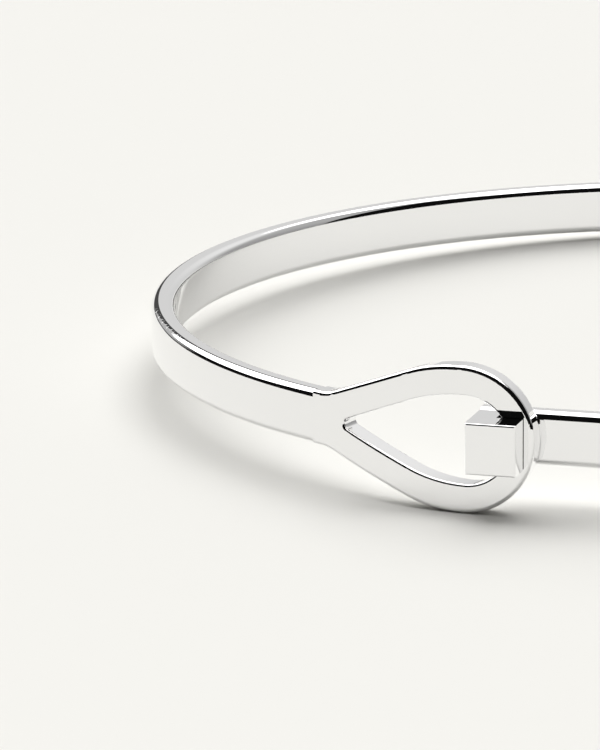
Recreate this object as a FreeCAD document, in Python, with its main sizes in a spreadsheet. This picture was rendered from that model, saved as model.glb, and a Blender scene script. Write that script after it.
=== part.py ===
import FreeCAD, Part
import math
import os
import Sketcher

# Hinged bangle with a teardrop loop and a square hook.
# Frame: origin at the ring's centre, +Z along the wrist, the clasp at -Y, the hinge at +Y, the loop arm on -X.
V = FreeCAD.Vector
doc = FreeCAD.newDocument("bangle")
sheet = doc.addObject("Spreadsheet::Sheet", "params")
row = 0


def setting(alias, value):
    global row
    row += 1
    sheet.set("A%d" % row, alias)
    sheet.set("B%d" % row, str(value))
    sheet.setAlias("B%d" % row, alias)


# Band: a rectangular strip with rounded edges, bent to a circle.
setting("ring_radius", 31.0)
setting("band_thickness", 1.29)
setting("band_height", 2.84)
setting("band_round", 0.43)
# Loop: a teardrop plate bent to a tighter radius than the band.
setting("loop_start_angle", 16.4)
setting("loop_end_angle", 17.4)
setting("loop_bend_radius", 22.5)
setting("loop_half_height", 3.82)
setting("loop_round_centre", -2.27)
setting("loop_round_tilt", 12.6)
setting("loop_side_tilt", -2.95)
setting("loop_side_centre", 3.55)
setting("loop_side_radius", 8.03)
setting("loop_side_slope", 20.63)
setting("loop_neck_radius", 2.4)
setting("loop_edge_round", 0.21)
setting("eye_tilt", -1.5)
setting("eye_centre", 3.38)
setting("eye_half_height", 2.31)
setting("eye_side_radius", 8.78)
setting("eye_side_slope", 21.19)
setting("eye_tip_radius", 0.3)
setting("eye_edge_round", 0.12)
# Hook: a square block on a narrow neck, standing on the straight end of its arm.
setting("hook_angle", 13.05)
setting("hook_arm_inset", 2.45)
setting("hook_left", 6.0)
setting("hook_width", 2.63)
setting("hook_height", 2.67)
setting("hook_neck_width", 1.25)
setting("hook_neck_depth", 1.45)
setting("hook_head_depth", 1.49)
setting("hook_edge_round", 0.1)
# Hinge: three tube knuckles on a riveted pin.
setting("hinge_gap_angle", 2.2)
setting("knuckle_radius", 0.95)
setting("knuckle_gap", 0.06)
setting("middle_knuckle_height", 1.0)
setting("pin_radius", 0.42)
setting("pin_fit_play", 0.03)
setting("pin_press", 0.005)
setting("pin_head_radius", 0.66)
setting("pin_head_height", 0.18)
doc.recompute()


def val(alias):
    return float(sheet.get(alias))


def body(name):
    made = doc.addObject("PartDesign::Body", name)
    doc.recompute()
    return made


def plane(owner, key):
    for feature in owner.Origin.OriginFeatures:
        if key in feature.Name:
            return feature


def sketch(owner, key, label):
    made = owner.newObject("Sketcher::SketchObject", owner.Name + "_" + label)
    made.AttachmentSupport = [(plane(owner, key), "")]
    made.MapMode = "FlatFace"
    return made


def dimension(target, kind, places, value, expression):
    index = target.addConstraint(Sketcher.Constraint(kind, *places, value))
    target.setExpression("Constraints[%d]" % index, expression)
    return index


def rectangle(target, x_low, x_high, y_low, y_high, links):
    corners = [V(x_low, y_low, 0), V(x_high, y_low, 0), V(x_high, y_high, 0), V(x_low, y_high, 0)]
    for i in range(4):
        target.addGeometry(Part.LineSegment(corners[i], corners[(i + 1) % 4]))
    for i in range(4):
        target.addConstraint(Sketcher.Constraint("Coincident", i, 2, (i + 1) % 4, 1))
    target.addConstraint(Sketcher.Constraint("Horizontal", 0))
    target.addConstraint(Sketcher.Constraint("Horizontal", 2))
    target.addConstraint(Sketcher.Constraint("Vertical", 1))
    target.addConstraint(Sketcher.Constraint("Vertical", 3))
    dimension(target, "DistanceX", (-1, 1, 0, 1), x_low, links[0])
    dimension(target, "DistanceX", (-1, 1, 1, 1), x_high, links[1])
    dimension(target, "DistanceY", (-1, 1, 0, 1), y_low, links[2])
    dimension(target, "DistanceY", (-1, 1, 2, 1), y_high, links[3])


def circle(target, x, y, radius, links):
    target.addGeometry(Part.Circle(V(x, y, 0), V(0, 0, 1), radius))
    dimension(target, "Radius", (0,), radius, links[0])
    target.addConstraint(Sketcher.Constraint("DistanceX", -1, 1, 0, 3, x))
    dimension(target, "DistanceY", (-1, 1, 0, 3), y, links[1])


def arc(x, y, radius, start, stop):
    return Part.ArcOfCircle(Part.Circle(V(x, y, 0), V(0, 0, 1), radius), math.radians(start), math.radians(stop))


def outline(target, pieces):
    """Draw the pieces and join every pair of ends that meet."""
    for piece in pieces:
        target.addGeometry(piece)
    ends = []
    for i in range(len(pieces)):
        ends.append((i, 1, pieces[i].StartPoint))
        ends.append((i, 2, pieces[i].EndPoint))
    for i in range(len(ends)):
        for j in range(i + 1, len(ends)):
            if ends[i][2].distanceToPoint(ends[j][2]) < 0.001:
                joined = Sketcher.Constraint("Coincident", ends[i][0], ends[i][1], ends[j][0], ends[j][1])
                target.addConstraint(joined)


def bind_radius(target, index, alias):
    dimension(target, "Radius", (index,), val(alias), "params." + alias)


def place(target, base, turn):
    """Set a sketch's offset from its plane: base holds expressions, turn is an angle about the plane's up axis."""
    target.AttachmentOffset = FreeCAD.Placement(V(0, 0, 0), FreeCAD.Rotation(V(0, 1, 0), 1))
    target.setExpression("AttachmentOffset.Base.x", base[0])
    target.setExpression("AttachmentOffset.Base.z", base[1])
    target.setExpression("AttachmentOffset.Rotation.Angle", turn)
    doc.recompute()


def revolve(owner, label, profile, angle, other):
    made = owner.newObject("PartDesign::Revolution", owner.Name + "_" + label)
    made.Profile = profile
    made.ReferenceAxis = (profile, ["V_Axis"])
    made.Type = "TwoAngles"
    made.setExpression("Angle", angle)
    made.setExpression("Angle2", other)
    doc.recompute()
    return made


def pad(owner, label, profile, length, middle, backwards):
    made = owner.newObject("PartDesign::Pad", owner.Name + "_" + label)
    made.Profile = profile
    made.setExpression("Length", length)
    made.Midplane = middle
    made.Reversed = backwards
    doc.recompute()
    return made


def cut_through(owner, label, profile):
    made = owner.newObject("PartDesign::Pocket", owner.Name + "_" + label)
    made.Profile = profile
    made.Type = "ThroughAll"
    made.Midplane = True
    doc.recompute()
    return made


def round_edges(owner, label, base, names, radius):
    made = owner.newObject("PartDesign::Fillet", owner.Name + "_" + label)
    made.Base = (base, names)
    made.setExpression("Radius", radius)
    doc.recompute()
    return made


def edges_where(shape, test):
    names = []
    for i, edge in enumerate(shape.Edges):
        middle = edge.valueAt(0.5 * (edge.FirstParameter + edge.LastParameter))
        if test(edge, middle):
            names.append("Edge%d" % (i + 1))
    return names


# The loop arm's band runs from the loop round the -X side to the hinge.
loop_band = body("loop_band")
band_profile = sketch(loop_band, "YZ_Plane", "profile")
outer = -val("ring_radius")
inner = outer + val("band_thickness")
half = val("band_height") / 2
band_links = [
    "-params.ring_radius",
    "-params.ring_radius + params.band_thickness",
    "-params.band_height / 2",
    "params.band_height / 2",
]
rectangle(band_profile, outer, inner, -half, half, band_links)
band_sweep = "180 - params.loop_start_angle - params.hinge_gap_angle"
band_bend = revolve(loop_band, "bend", band_profile, "0.001", band_sweep)
loop_band.Placement = FreeCAD.Placement(V(0, 0, 0), FreeCAD.Rotation(V(0, 0, 1), 0))
loop_band.setExpression("Placement.Rotation.Angle", "-params.loop_start_angle")
doc.recompute()
band_long = edges_where(band_bend.Shape, lambda edge, middle: edge.Length > 5)
round_edges(loop_band, "edges", band_bend, band_long, "params.band_round")

# The teardrop plate starts where the band ends and follows its own bend axis.
loop = body("teardrop_loop")
shift = "(params.ring_radius - params.loop_bend_radius)"
axis_x = "-" + shift + " * sin(params.loop_start_angle)"
axis_y = "-" + shift + " * cos(params.loop_start_angle)"
plate = sketch(loop, "YZ_Plane", "plate")
plate.setExpression("AttachmentOffset.Base.x", axis_y)
plate.setExpression("AttachmentOffset.Base.z", axis_x)
outer = -val("loop_bend_radius")
inner = outer + val("band_thickness")
tall = val("loop_half_height")
plate_links = [
    "-params.loop_bend_radius",
    "-params.loop_bend_radius + params.band_thickness",
    "-params.loop_half_height",
    "params.loop_half_height",
]
rectangle(plate, outer, inner, -tall, tall, plate_links)
revolve(loop, "bend", plate, "params.loop_end_angle", "params.loop_start_angle")

# The side cut removes what is above and below the flare, seen square to its own middle.
side = sketch(loop, "XZ_Plane", "side")
place(side, (axis_x, "-(" + axis_y + ")"), "params.loop_side_tilt")
slope = math.radians(val("loop_side_slope"))
side_x = val("loop_side_centre")
side_r = val("loop_side_radius")
neck_r = val("loop_neck_radius")
tangent_x = side_x - side_r * math.sin(slope)
tangent_y = tall - side_r * (1 - math.cos(slope))
corner_x = tangent_x - (tangent_y - half) / math.tan(slope)
reach = neck_r * math.tan(slope / 2)
neck_x = corner_x - reach
line_x = corner_x + reach * math.cos(slope)
line_y = half + reach * math.sin(slope)
margin = 1.0
left_x = neck_x - margin
top_y = tall + margin
side_pieces = []
degrees = val("loop_side_slope")
for flip in (1, -1):
    if flip == 1:
        neck_arc = arc(neck_x, half + neck_r, neck_r, 270, 270 + degrees)
        side_arc = arc(side_x, tall - side_r, side_r, 90, 90 + degrees)
    else:
        neck_arc = arc(neck_x, -half - neck_r, neck_r, 90 - degrees, 90)
        side_arc = arc(side_x, side_r - tall, side_r, 270 - degrees, 270)
    side_pieces.append(Part.LineSegment(V(left_x, flip * half, 0), V(neck_x, flip * half, 0)))
    side_pieces.append(neck_arc)
    side_pieces.append(Part.LineSegment(V(line_x, flip * line_y, 0), V(tangent_x, flip * tangent_y, 0)))
    side_pieces.append(side_arc)
    side_pieces.append(Part.LineSegment(V(side_x, flip * tall, 0), V(side_x, flip * top_y, 0)))
    side_pieces.append(Part.LineSegment(V(side_x, flip * top_y, 0), V(left_x, flip * top_y, 0)))
    side_pieces.append(Part.LineSegment(V(left_x, flip * top_y, 0), V(left_x, flip * half, 0)))
outline(side, side_pieces)
bind_radius(side, 1, "loop_neck_radius")
bind_radius(side, 8, "loop_neck_radius")
bind_radius(side, 3, "loop_side_radius")
bind_radius(side, 10, "loop_side_radius")
cut_through(loop, "side_cut", side)

# The round cut shapes the loop's far end.
end = sketch(loop, "XZ_Plane", "end")
place(end, (axis_x, "-(" + axis_y + ")"), "params.loop_round_tilt")
end_x = val("loop_round_centre")
end_right = end_x + tall + margin
end_pieces = [
    arc(end_x, 0, tall, -90, 90),
    Part.LineSegment(V(end_x, tall, 0), V(end_x, top_y, 0)),
    Part.LineSegment(V(end_x, top_y, 0), V(end_right, top_y, 0)),
    Part.LineSegment(V(end_right, top_y, 0), V(end_right, -top_y, 0)),
    Part.LineSegment(V(end_right, -top_y, 0), V(end_x, -top_y, 0)),
    Part.LineSegment(V(end_x, -top_y, 0), V(end_x, -tall, 0)),
]
outline(end, end_pieces)
bind_radius(end, 0, "loop_half_height")
end_cut = cut_through(loop, "end_cut", end)

# Round the outer outline on both sides of the plate before the eye is cut.
start = math.radians(val("loop_start_angle"))
start_along = V(math.cos(start), -math.sin(start), 0)
axis_point = V(-math.sin(start), -math.cos(start), 0) * (val("ring_radius") - val("loop_bend_radius"))


def away(point):
    return V(point.x - axis_point.x, point.y - axis_point.y, 0)


def on_plate_face(edge, middle):
    radial = away(middle).Length
    on_face = min(abs(radial + outer), abs(radial + inner)) < 0.001
    at_start = abs(away(middle).dot(start_along)) < 0.01
    return on_face and not at_start


outline_edges = edges_where(end_cut.Shape, on_plate_face)
round_edges(loop, "edges", end_cut, outline_edges, "params.loop_edge_round")

# The eye is a teardrop too, with a small round at its tip.
eye = sketch(loop, "XZ_Plane", "eye")
place(eye, (axis_x, "-(" + axis_y + ")"), "params.eye_tilt")
slope = math.radians(val("eye_side_slope"))
degrees = val("eye_side_slope")
eye_x = val("eye_centre")
eye_half = val("eye_half_height")
eye_r = val("eye_side_radius")
tip_r = val("eye_tip_radius")
far_x = eye_x - eye_r * math.sin(slope)
far_y = eye_half - eye_r * (1 - math.cos(slope))
apex_x = far_x - far_y / math.tan(slope)
tip_x = apex_x + tip_r / math.sin(slope)
near_x = tip_x - tip_r * math.sin(slope)
near_y = tip_r * math.cos(slope)
eye_pieces = [
    arc(eye_x, 0, eye_half, -90, 90),
    arc(eye_x, eye_half - eye_r, eye_r, 90, 90 + degrees),
    Part.LineSegment(V(far_x, far_y, 0), V(near_x, near_y, 0)),
    arc(tip_x, 0, tip_r, 90 + degrees, 270 - degrees),
    Part.LineSegment(V(near_x, -near_y, 0), V(far_x, -far_y, 0)),
    arc(eye_x, eye_r - eye_half, eye_r, 270 - degrees, 270),
]
outline(eye, eye_pieces)
bind_radius(eye, 0, "eye_half_height")
bind_radius(eye, 1, "eye_side_radius")
bind_radius(eye, 3, "eye_tip_radius")
bind_radius(eye, 5, "eye_side_radius")
eye_cut = cut_through(loop, "eye_cut", eye)


eye_turn = math.radians(val("eye_tilt"))
eye_along = V(math.cos(eye_turn), math.sin(eye_turn), 0)


def on_eye(edge, middle):
    radial = away(middle).Length
    on_face = min(abs(radial + outer), abs(radial + inner)) < 0.001
    along = away(middle).dot(eye_along)
    return on_face and abs(middle.z) < eye_half + 0.1 and apex_x < along < eye_x + eye_half + 0.5


eye_edges = edges_where(eye_cut.Shape, on_eye)
round_edges(loop, "eye_edges", eye_cut, eye_edges, "params.eye_edge_round")

# The hook arm is bent a little tighter, so that its straight end lies behind the loop.
hook_band = body("hook_band")
hook_band.Placement = FreeCAD.Placement(V(0, 0, 0), FreeCAD.Rotation(V(0, 0, 1), 1))
hook_band.setExpression("Placement.Rotation.Angle", "params.hook_angle")
offset = "params.hook_arm_inset / (1 + cos(params.hook_angle))"
arm = sketch(hook_band, "YZ_Plane", "profile")
arm.setExpression("AttachmentOffset.Base.x", offset + " * cos(params.hook_angle)")
arm.setExpression("AttachmentOffset.Base.z", offset + " * sin(params.hook_angle)")
arm_shift = val("hook_arm_inset") / (1 + math.cos(math.radians(val("hook_angle"))))
outer = -val("ring_radius") + arm_shift
inner = outer + val("band_thickness")
arm_radius = "(params.ring_radius - " + offset + ")"
arm_links = [
    "-" + arm_radius,
    "-" + arm_radius + " + params.band_thickness",
    "-params.band_height / 2",
    "params.band_height / 2",
]
rectangle(arm, outer, inner, -half, half, arm_links)
revolve(hook_band, "bend", arm, "180 - params.hook_angle - params.hinge_gap_angle", "0.001")
straight = "params.hook_left + " + offset + " * sin(params.hook_angle)"
arm_end = pad(hook_band, "straight", arm, straight, False, True)
arm_long = edges_where(arm_end.Shape, lambda edge, middle: edge.Length > 3)
round_edges(hook_band, "edges", arm_end, arm_long, "params.band_round")

# The hook: a narrow neck through the eye and a square head in front of the loop.
hook = body("hook")
hook.Placement = FreeCAD.Placement(V(0, 0, 0), FreeCAD.Rotation(V(0, 0, 1), 1))
hook.setExpression("Placement.Rotation.Angle", "params.hook_angle")
neck = sketch(hook, "XY_Plane", "neck")
face = val("ring_radius") - val("hook_arm_inset")
left = val("hook_left")
neck_right = -left + val("hook_neck_width")
neck_front = -face - val("hook_neck_depth")
face_link = "-params.ring_radius + params.hook_arm_inset"
neck_front_link = face_link + " - params.hook_neck_depth"
neck_links = [
    "-params.hook_left",
    "-params.hook_left + params.hook_neck_width",
    neck_front_link,
    face_link,
]
rectangle(neck, -left, neck_right, neck_front, -face, neck_links)
pad(hook, "neck_block", neck, "params.hook_height", True, False)
head = sketch(hook, "XY_Plane", "head")
head_front = neck_front - val("hook_head_depth")
head_right = -left + val("hook_width")
head_links = [
    "-params.hook_left",
    "-params.hook_left + params.hook_width",
    neck_front_link + " - params.hook_head_depth",
    neck_front_link,
]
rectangle(head, -left, head_right, head_front, neck_front, head_links)
block = pad(hook, "head_block", head, "params.hook_height", True, False)


def on_front(edge, middle):
    return abs(middle.y - head_front) < 0.001


front_edges = edges_where(block.Shape, on_front)
round_edges(hook, "edges", block, front_edges, "params.hook_edge_round")


def knuckle(name, low, high, side_sign, centre, radius_link, radius, bore, bore_link):
    """A tube round the pin with a short leaf that meets the end of its band."""
    made = body(name)
    leaf = sketch(made, "YZ_Plane", "leaf")
    leaf.setExpression("AttachmentOffset.Base.x", centre)
    links = [radius_link + " - params.band_thickness", radius_link, low, high]
    thick = val("band_thickness")
    low_value = knuckle_z[low]
    high_value = knuckle_z[high]
    rectangle(leaf, radius - thick, radius, low_value, high_value, links)
    if side_sign > 0:
        revolve(made, "leaf_bend", leaf, "0.001", "params.hinge_gap_angle")
    else:
        revolve(made, "leaf_bend", leaf, "params.hinge_gap_angle", "0.001")
    tube = sketch(made, "XY_Plane", "tube")
    tube.setExpression("AttachmentOffset.Base.z", low)
    circle(tube, 0, hinge_y, val("knuckle_radius"), ["params.knuckle_radius", hinge_link])
    pad(made, "tube_wall", tube, "(" + high + ") - (" + low + ")", False, False)
    hole = sketch(made, "XY_Plane", "bore")
    circle(hole, 0, hinge_y, bore, [bore_link, hinge_link])
    cut_through(made, "bore_cut", hole)


hinge_y = val("ring_radius") - val("band_thickness") / 2
hinge_link = "params.ring_radius - params.band_thickness / 2"
middle = val("middle_knuckle_height") / 2
gap = val("knuckle_gap")
top_low = "params.middle_knuckle_height / 2 + params.knuckle_gap"
top_high = "params.band_height / 2"
bottom_low = "-params.band_height / 2"
bottom_high = "-params.middle_knuckle_height / 2 - params.knuckle_gap"
middle_low = "-params.middle_knuckle_height / 2"
middle_high = "params.middle_knuckle_height / 2"
knuckle_z = {
    top_low: middle + gap,
    top_high: half,
    bottom_low: -half,
    bottom_high: -middle - gap,
    middle_low: -middle,
    middle_high: middle,
}
tight = val("pin_radius") - val("pin_press")
loose = val("pin_radius") + val("pin_fit_play")
tight_link = "params.pin_radius - params.pin_press"
loose_link = "params.pin_radius + params.pin_fit_play"
ring = val("ring_radius")
knuckle("top_knuckle", top_low, top_high, -1, "0", "params.ring_radius", ring, tight, tight_link)
knuckle("bottom_knuckle", bottom_low, bottom_high, -1, "0", "params.ring_radius", ring, tight, tight_link)
knuckle("middle_knuckle", middle_low, middle_high, 1, offset, arm_radius, -outer, loose, loose_link)

# The pin is a plain rod with a low domed head at each end.
pin = body("hinge_pin")
rod = sketch(pin, "XY_Plane", "rod")
circle(rod, 0, hinge_y, val("pin_radius"), ["params.pin_radius", hinge_link])
pad(pin, "shank", rod, "params.band_height", True, False)
for label, level, reverse in (("upper", "params.band_height / 2", False), ("lower", "-params.band_height / 2", True)):
    rim = sketch(pin, "XY_Plane", label)
    rim.setExpression("AttachmentOffset.Base.z", level)
    circle(rim, 0, hinge_y, val("pin_head_radius"), ["params.pin_head_radius", hinge_link])
    head_pad = pad(pin, label + "_head", rim, "params.pin_head_height", False, reverse)
ends = edges_where(head_pad.Shape, lambda edge, spot: abs(abs(spot.z) - half - val("pin_head_height")) < 0.001)
round_edges(pin, "head_edges", head_pad, ends, "params.pin_head_height * 0.8")

doc.recompute()
for item in doc.Objects:
    for word in ("Invalid", "Error"):
        if word in item.State:
            raise RuntimeError(item.Name + " is " + word)
os.makedirs("parts", exist_ok=True)
nodes = ["loop_band", "teardrop_loop", "hook_band", "hook"]
nodes += ["top_knuckle", "bottom_knuckle", "middle_knuckle", "hinge_pin"]
for node in nodes:
    shape = doc.getObject(node).Shape
    if shape.isNull() or not shape.isValid() or len(shape.Solids) != 1:
        raise RuntimeError(node + " has no single valid solid")
    shape.exportStep("parts/" + node + ".step")
    print(node, shape.BoundBox)
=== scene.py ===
import bpy
import math
from mathutils import Vector, Matrix


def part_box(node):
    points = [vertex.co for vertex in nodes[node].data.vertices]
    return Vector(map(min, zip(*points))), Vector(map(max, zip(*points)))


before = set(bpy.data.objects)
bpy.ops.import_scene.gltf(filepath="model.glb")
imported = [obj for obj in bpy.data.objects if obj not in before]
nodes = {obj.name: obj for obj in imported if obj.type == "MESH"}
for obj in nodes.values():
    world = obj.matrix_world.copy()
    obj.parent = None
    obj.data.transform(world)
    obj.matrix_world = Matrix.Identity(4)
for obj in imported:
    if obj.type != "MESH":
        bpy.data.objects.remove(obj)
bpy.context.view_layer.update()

# The camera, placed round the ring.
CAMERA_AZIMUTH = math.radians(29.6)
CAMERA_ELEVATION = math.radians(13.4)
CAMERA_ROLL = math.radians(-0.28)
CAMERA_DISTANCE = 0.35
CAMERA_TARGET = Vector((-0.01388, -0.02203, 0.0))
LENS = 319.9
SENSOR_WIDTH = 36.0
NEAREST = 0.01
FARTHEST = 20.0

# The band's section, as built.
BAND_RADIUS = 0.031
BAND_THICKNESS = 0.00129
BAND_HEIGHT = 0.00284
BAND_ROUND = 0.00043
HOOK_ANGLE = math.radians(13.05)
HOOK_INSET = 0.00245
# Points nearer to the middle of the section than this share of the rounding lie on an end face.
SKIN_SHARE = 0.5
SKIN_LEVEL = 2

# The polished metal.
METAL_DARK = (0.895, 0.895, 0.9)
METAL_LIGHT = (0.915, 0.915, 0.918)
METAL_ROUGHNESS = 0.03
SMOOTHEST = 0.6
ROUGHEST = 1.3
CLOUD_SCALE = 180.0
CLOUD_DETAIL = 4.0
CLOUD_RANGE = (0.3, 0.7)

# The floor, which carries the loop's lowest point and the hinge pin's foot.
FLOOR_SIZE = 3.0
FLOOR_DARK = (0.80, 0.795, 0.767)
FLOOR_LIGHT = (0.81, 0.805, 0.777)
FLOOR_SCALE = 3.0
FLOOR_ROUGHNESS = 0.9
FLOOR_SPECULAR = 0.1
LOOP_FOOT = (0.0012, -0.0302)
HINGE_FOOT = (0.0, 0.03036)

UP = Vector((0, 0, 1))
FRONT = Vector((math.sin(CAMERA_AZIMUTH), -math.cos(CAMERA_AZIMUTH), 0.0))
RIGHT = Vector((math.cos(CAMERA_AZIMUTH), math.sin(CAMERA_AZIMUTH), 0.0))

# The softbox. Its places are slopes: how far a direction runs forward or sideways for each unit up.
# A pair gives where an edge starts to fade and where the fade ends.
LIGHT_COLOUR = (1.0, 0.995, 0.985)
SOFTBOX_LEVEL = 2.72
SOFTBOX_FRONT = (0.31, 0.41)
SOFTBOX_FRONT_SWEEP = 0.55
SOFTBOX_CORNER = 1.35
SOFTBOX_CORNER_SWEEP = 0.3
SOFTBOX_BACK = (-1.95, -1.7)
SOFTBOX_BACK_SLANT = 0.8
SOFTBOX_FOOT = (0.05, 0.08)
SOFTBOX_RIGHT = (0.5, 0.8)
SOFTBOX_LEFT = (-2.1, -1.9)
LOWEST_SLOPE = 0.02
LOWEST_FRONT = 0.001

# The walls behind and to the left, and the dark gap between them.
GAP_LEFT = (-0.24, -0.2)
GAP_RIGHT = (-0.07, -0.05)
GAP_TOP = (-1.5, -1.3)
WALL_EDGE = (-0.05, 0.0)
WALL_HEIGHTS = (0.15, 0.55)
WALL_LEVELS = (0.68, 0.88)
WALL_RIGHT = (0.5, 1.4)
WALL_RIGHT_SHARE = 0.5
BEHIND = (-0.85, -0.65)
BEHIND_LEVEL = 0.07
LEFT_WALL = (-0.32, -0.27)
LEFT_WALL_LEVEL = 0.5
LEFT_WALL_FOOT = (0.07, 0.14)
HORIZON_TOP = (0.03, 0.06)
HORIZON_FRONT = (-0.9, -0.8)
DARKNESS = 0.004


class Tree:
    """A small helper that adds nodes to a node tree and links them."""

    def __init__(self, tree):
        self.tree = tree
        self.tree.nodes.clear()

    def add(self, kind, **settings):
        node = self.tree.nodes.new(kind)
        for key, value in settings.items():
            setattr(node, key, value)
        return node

    def link(self, source, target):
        self.tree.links.new(source, target)

    def put(self, socket, value):
        if isinstance(value, bpy.types.NodeSocket):
            self.link(value, socket)
        else:
            socket.default_value = value

    def math(self, operation, a, b=0.0):
        node = self.add("ShaderNodeMath", operation=operation)
        self.put(node.inputs[0], a)
        self.put(node.inputs[1], b)
        return node.outputs[0]

    def product(self, *factors):
        result = factors[0]
        for factor in factors[1:]:
            result = self.math("MULTIPLY", result, factor)
        return result

    def clamp(self, value, low, high):
        return self.math("MINIMUM", self.math("MAXIMUM", value, low), high)

    def length(self, a, b):
        return self.math("SQRT", self.math("ADD", self.product(a, a), self.product(b, b)))

    def dot(self, a, b):
        node = self.add("ShaderNodeVectorMath", operation="DOT_PRODUCT")
        self.put(node.inputs[0], a)
        self.put(node.inputs[1], b)
        return node.outputs["Value"]

    def combine(self, x, y, z):
        node = self.add("ShaderNodeCombineXYZ")
        self.link(x, node.inputs["X"])
        self.link(y, node.inputs["Y"])
        self.link(z, node.inputs["Z"])
        return node.outputs[0]

    def rotate_z(self, vector, angle):
        node = self.add("ShaderNodeVectorRotate", rotation_type="Z_AXIS")
        self.link(vector, node.inputs["Vector"])
        node.inputs["Angle"].default_value = angle
        return node.outputs[0]

    def noise(self, place, scale, **inputs):
        node = self.add("ShaderNodeTexNoise")
        self.link(place, node.inputs["Vector"])
        node.inputs["Scale"].default_value = scale
        for key, value in inputs.items():
            node.inputs[key].default_value = value
        return node.outputs["Fac"]

    def blend(self, share, dark, light):
        node = self.add("ShaderNodeMix", data_type="RGBA")
        self.link(share, node.inputs["Factor"])
        node.inputs["A"].default_value = (*dark, 1)
        node.inputs["B"].default_value = (*light, 1)
        return node.outputs["Result"]

    def step(self, value, edge, start=0.0, stop=1.0):
        """A smooth change from start to stop, where value crosses the edge's pair of places."""
        node = self.add("ShaderNodeMapRange", interpolation_type="SMOOTHSTEP")
        self.put(node.inputs["Value"], value)
        self.put(node.inputs["From Min"], edge[0])
        self.put(node.inputs["From Max"], edge[1])
        self.put(node.inputs["To Min"], start)
        self.put(node.inputs["To Max"], stop)
        return node.outputs["Result"]

    def fall(self, value, edge, start=1.0):
        """A smooth change from start down to nothing."""
        return self.step(value, edge, start, 0.0)


def softbox(t, front, across, up):
    """One large softbox overhead, with straight edges in slope and its front edge swept back at the left."""
    above = t.math("MAXIMUM", up, LOWEST_SLOPE)
    ahead = t.math("DIVIDE", front, above)
    rightward = t.math("DIVIDE", across, above)
    leftward = t.math("MAXIMUM", t.product(rightward, -1.0), 0.0)
    beyond = t.math("MAXIMUM", t.math("SUBTRACT", leftward, SOFTBOX_CORNER), 0.0)
    sweep = t.math("ADD", t.product(leftward, SOFTBOX_FRONT_SWEEP), t.product(beyond, SOFTBOX_CORNER_SWEEP))
    box = t.product(
        t.fall(t.math("ADD", ahead, sweep), SOFTBOX_FRONT),
        t.step(t.math("ADD", ahead, t.product(rightward, -SOFTBOX_BACK_SLANT)), SOFTBOX_BACK),
        t.step(up, SOFTBOX_FOOT),
        t.fall(rightward, SOFTBOX_RIGHT),
        t.step(rightward, SOFTBOX_LEFT),
    )
    return box, ahead


def make_world():
    """A studio: a softbox overhead, grey walls behind and to the left, and darkness in front."""
    world = bpy.data.worlds.new("studio")
    bpy.context.scene.world = world
    world.use_nodes = True
    t = Tree(world.node_tree)
    direction = t.add("ShaderNodeTexCoord").outputs["Generated"]
    front = t.dot(direction, FRONT)
    across = t.dot(direction, RIGHT)
    up = t.dot(direction, UP)
    box, ahead = softbox(t, front, across, up)
    # A dark gap behind the ring, which also cuts the softbox.
    backward = t.math("MAXIMUM", t.product(front, -1.0), LOWEST_FRONT)
    sideways = t.math("DIVIDE", across, backward)
    gap = t.product(t.step(sideways, GAP_LEFT), t.fall(sideways, GAP_RIGHT), t.fall(ahead, GAP_TOP))
    box = t.product(box, t.math("SUBTRACT", 1.0, gap))
    # The grey wall is brighter towards its top and dimmer towards its right.
    wall = t.product(
        t.step(sideways, GAP_RIGHT),
        t.fall(front, WALL_EDGE),
        t.step(up, WALL_HEIGHTS, *WALL_LEVELS),
        t.step(sideways, WALL_RIGHT, 1.0, WALL_RIGHT_SHARE),
    )
    wall = t.math("MAXIMUM", wall, t.fall(front, BEHIND, BEHIND_LEVEL))
    left_wall = t.product(
        t.fall(sideways, LEFT_WALL, LEFT_WALL_LEVEL),
        t.fall(front, BEHIND),
        t.step(up, LEFT_WALL_FOOT),
    )
    wall = t.math("MAXIMUM", wall, left_wall)
    horizon = t.product(t.fall(up, HORIZON_TOP), t.fall(front, HORIZON_FRONT))
    level = t.math("MAXIMUM", t.product(box, SOFTBOX_LEVEL), t.math("MAXIMUM", wall, horizon))
    background = t.add("ShaderNodeBackground")
    t.link(t.math("MAXIMUM", level, DARKNESS), background.inputs["Strength"])
    background.inputs["Color"].default_value = (*LIGHT_COLOUR, 1)
    out = t.add("ShaderNodeOutputWorld")
    t.link(background.outputs[0], out.inputs["Surface"])


def make_floor():
    """A plain pale floor, tilted to carry the loop's lowest point and the hinge pin's foot."""
    front_foot = Vector((*LOOP_FOOT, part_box("teardrop_loop")[0].z))
    back_foot = Vector((*HINGE_FOOT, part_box("hinge_pin")[0].z))
    run = back_foot - front_foot
    corners = [(-1, -1), (1, -1), (1, 1), (-1, 1)]
    mesh = bpy.data.meshes.new("floor")
    mesh.from_pydata([(x * FLOOR_SIZE, y * FLOOR_SIZE, 0) for x, y in corners], [], [range(4)])
    floor = bpy.data.objects.new("floor", mesh)
    floor.location = front_foot
    floor.rotation_euler = (math.atan2(run.z, run.y), 0, 0)
    bpy.context.scene.collection.objects.link(floor)
    material = bpy.data.materials.new("pale_floor")
    material.use_nodes = True
    t = Tree(material.node_tree)
    shader = t.add("ShaderNodeBsdfPrincipled")
    noise = t.noise(t.add("ShaderNodeTexCoord").outputs["Object"], FLOOR_SCALE)
    t.link(t.blend(noise, FLOOR_DARK, FLOOR_LIGHT), shader.inputs["Base Color"])
    shader.inputs["Roughness"].default_value = FLOOR_ROUGHNESS
    shader.inputs["Specular IOR Level"].default_value = FLOOR_SPECULAR
    out = t.add("ShaderNodeOutputMaterial")
    t.link(shader.outputs[0], out.inputs["Surface"])
    mesh.materials.append(material)


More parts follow.
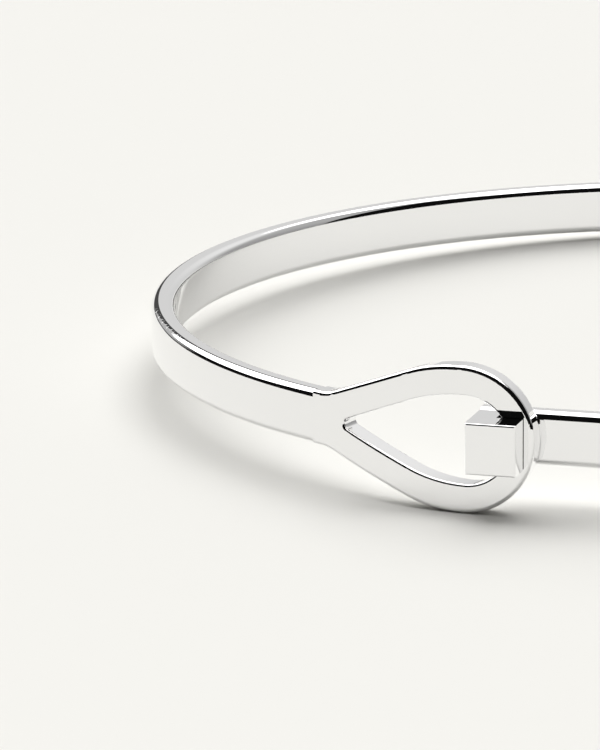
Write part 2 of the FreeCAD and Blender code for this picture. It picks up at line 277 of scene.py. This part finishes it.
class Section:
    """Where a point lies in the section of a bent strip with rounded edges.

    The core is the section less its rounding, and depth is the distance from the core."""

    def __init__(self, t, place, turn, centre, radius):
        self.t = t
        self.turn = turn
        self.centre = centre
        apart = t.add("ShaderNodeSeparateXYZ")
        t.link(t.rotate_z(place, -turn), apart.inputs[0])
        self.x = t.math("SUBTRACT", apart.outputs["X"], centre[0])
        self.y = t.math("SUBTRACT", apart.outputs["Y"], centre[1])
        self.beside = 0.0
        if turn:
            # The hook arm's end is straight, so there only the distance in y counts.
            straight = t.product(t.math("LESS_THAN", self.x, 0.0), t.math("LESS_THAN", self.y, 0.0))
            self.beside = t.product(self.x, straight)
            self.x = t.math("SUBTRACT", self.x, self.beside)
        z = apart.outputs["Z"]
        self.reach = t.length(self.x, self.y)
        core_up = BAND_HEIGHT / 2 - BAND_ROUND
        self.level = t.clamp(self.reach, radius - BAND_THICKNESS + BAND_ROUND, radius - BAND_ROUND)
        self.height = t.clamp(z, -core_up, core_up)
        self.across = t.math("SUBTRACT", self.reach, self.level)
        self.rise = t.math("SUBTRACT", z, self.height)
        self.depth = t.length(self.across, self.rise)

    def outside(self):
        """1 on the strip's long sides, 0 on its end faces."""
        return self.t.math("GREATER_THAN", self.depth, BAND_ROUND * SKIN_SHARE)

    def away(self):
        """The way out of the core, which is the skin's exact normal."""
        t = self.t
        share = t.math("DIVIDE", self.across, self.reach)
        return t.rotate_z(t.combine(t.product(self.x, share), t.product(self.y, share), self.rise), self.turn)

    def skin(self):
        """The point set exactly on the skin."""
        t = self.t
        grow = t.math("DIVIDE", BAND_ROUND, t.math("MAXIMUM", self.depth, BAND_ROUND * SKIN_SHARE))
        out = t.math("DIVIDE", t.math("ADD", self.level, t.product(self.across, grow)), self.reach)
        x = t.math("ADD", t.product(self.x, out), t.math("ADD", self.beside, self.centre[0]))
        y = t.math("ADD", t.product(self.y, out), self.centre[1])
        z = t.math("ADD", self.height, t.product(self.rise, grow))
        return t.rotate_z(t.combine(x, y, z), self.turn)


def strip_normal(t, place, strip):
    """The exact normal of the strip's skin; its end faces keep their own."""
    section = Section(t, place, *strip)
    spaces = {"convert_from": "OBJECT", "convert_to": "WORLD"}
    world = t.add("ShaderNodeVectorTransform", vector_type="NORMAL", **spaces)
    t.link(section.away(), world.inputs[0])
    choose = t.add("ShaderNodeMix", data_type="VECTOR")
    t.link(section.outside(), choose.inputs["Factor"])
    t.link(t.add("ShaderNodeNewGeometry").outputs["Normal"], choose.inputs["A"])
    t.link(world.outputs[0], choose.inputs["B"])
    return choose.outputs["Result"]


def refine(node, strip):
    """A modifier that splits the strip's facets and sets the new points exactly on its skin."""
    group = bpy.data.node_groups.new(node.name + "_skin", "GeometryNodeTree")
    for way in ("INPUT", "OUTPUT"):
        group.interface.new_socket("Geometry", in_out=way, socket_type="NodeSocketGeometry")
    t = Tree(group)
    divide = t.add("GeometryNodeSubdivideMesh")
    divide.inputs["Level"].default_value = SKIN_LEVEL
    t.link(t.add("NodeGroupInput").outputs[0], divide.inputs["Mesh"])
    section = Section(t, t.add("GeometryNodeInputPosition").outputs[0], *strip)
    move = t.add("GeometryNodeSetPosition")
    t.link(divide.outputs[0], move.inputs["Geometry"])
    t.link(section.outside(), move.inputs["Selection"])
    t.link(section.skin(), move.inputs["Position"])
    t.link(move.outputs[0], t.add("NodeGroupOutput").inputs[0])
    node.modifiers.new("skin", "NODES").node_group = group


def polished(name, strip=None):
    """Mirror-polished metal, with a faint change of tone and haze over the surface."""
    material = bpy.data.materials.new(name)
    material.use_nodes = True
    t = Tree(material.node_tree)
    shader = t.add("ShaderNodeBsdfPrincipled")
    shader.inputs["Metallic"].default_value = 1.0
    place = t.add("ShaderNodeTexCoord").outputs["Object"]
    cloud = t.noise(place, CLOUD_SCALE, Detail=CLOUD_DETAIL)
    haze = t.step(cloud, CLOUD_RANGE, METAL_ROUGHNESS * SMOOTHEST, METAL_ROUGHNESS * ROUGHEST)
    t.link(t.blend(cloud, METAL_DARK, METAL_LIGHT), shader.inputs["Base Color"])
    t.link(haze, shader.inputs["Roughness"])
    if strip:
        t.link(strip_normal(t, place, strip), shader.inputs["Normal"])
    out = t.add("ShaderNodeOutputMaterial")
    t.link(shader.outputs[0], out.inputs["Surface"])
    return material


def make_camera():
    """The camera looks at its target from the front right, a little from above."""
    back = FRONT * math.cos(CAMERA_ELEVATION) + UP * math.sin(CAMERA_ELEVATION)
    level_top = back.cross(RIGHT)
    right = RIGHT * math.cos(CAMERA_ROLL) + level_top * math.sin(CAMERA_ROLL)
    top = level_top * math.cos(CAMERA_ROLL) - RIGHT * math.sin(CAMERA_ROLL)
    data = bpy.data.cameras.new("camera")
    data.lens = LENS
    data.sensor_width = SENSOR_WIDTH
    data.clip_start = NEAREST
    data.clip_end = FARTHEST
    camera = bpy.data.objects.new("camera", data)
    turn = Matrix((right, top, back)).transposed().to_4x4()
    camera.matrix_world = Matrix.Translation(CAMERA_TARGET + back * CAMERA_DISTANCE) @ turn
    bpy.context.scene.collection.objects.link(camera)
    bpy.context.scene.camera = camera


def finish_metal():
    """Polish every piece; the two arms of the band also get their exact skin."""
    silver = polished("polished_metal")
    shift = HOOK_INSET / (1 + math.cos(HOOK_ANGLE))
    hook_centre = (shift * math.sin(HOOK_ANGLE), shift * math.cos(HOOK_ANGLE))
    strips = {
        "loop_band": (0.0, (0.0, 0.0), BAND_RADIUS),
        "hook_band": (HOOK_ANGLE, hook_centre, BAND_RADIUS - shift),
    }
    for name, node in nodes.items():
        node.data.materials.clear()
        if name in strips:
            node.data.materials.append(polished("polished_" + name, strips[name]))
            refine(node, strips[name])
        else:
            node.data.materials.append(silver)


bpy.context.scene.view_settings.view_transform = "Standard"
make_world()
make_floor()
make_camera()
finish_metal()
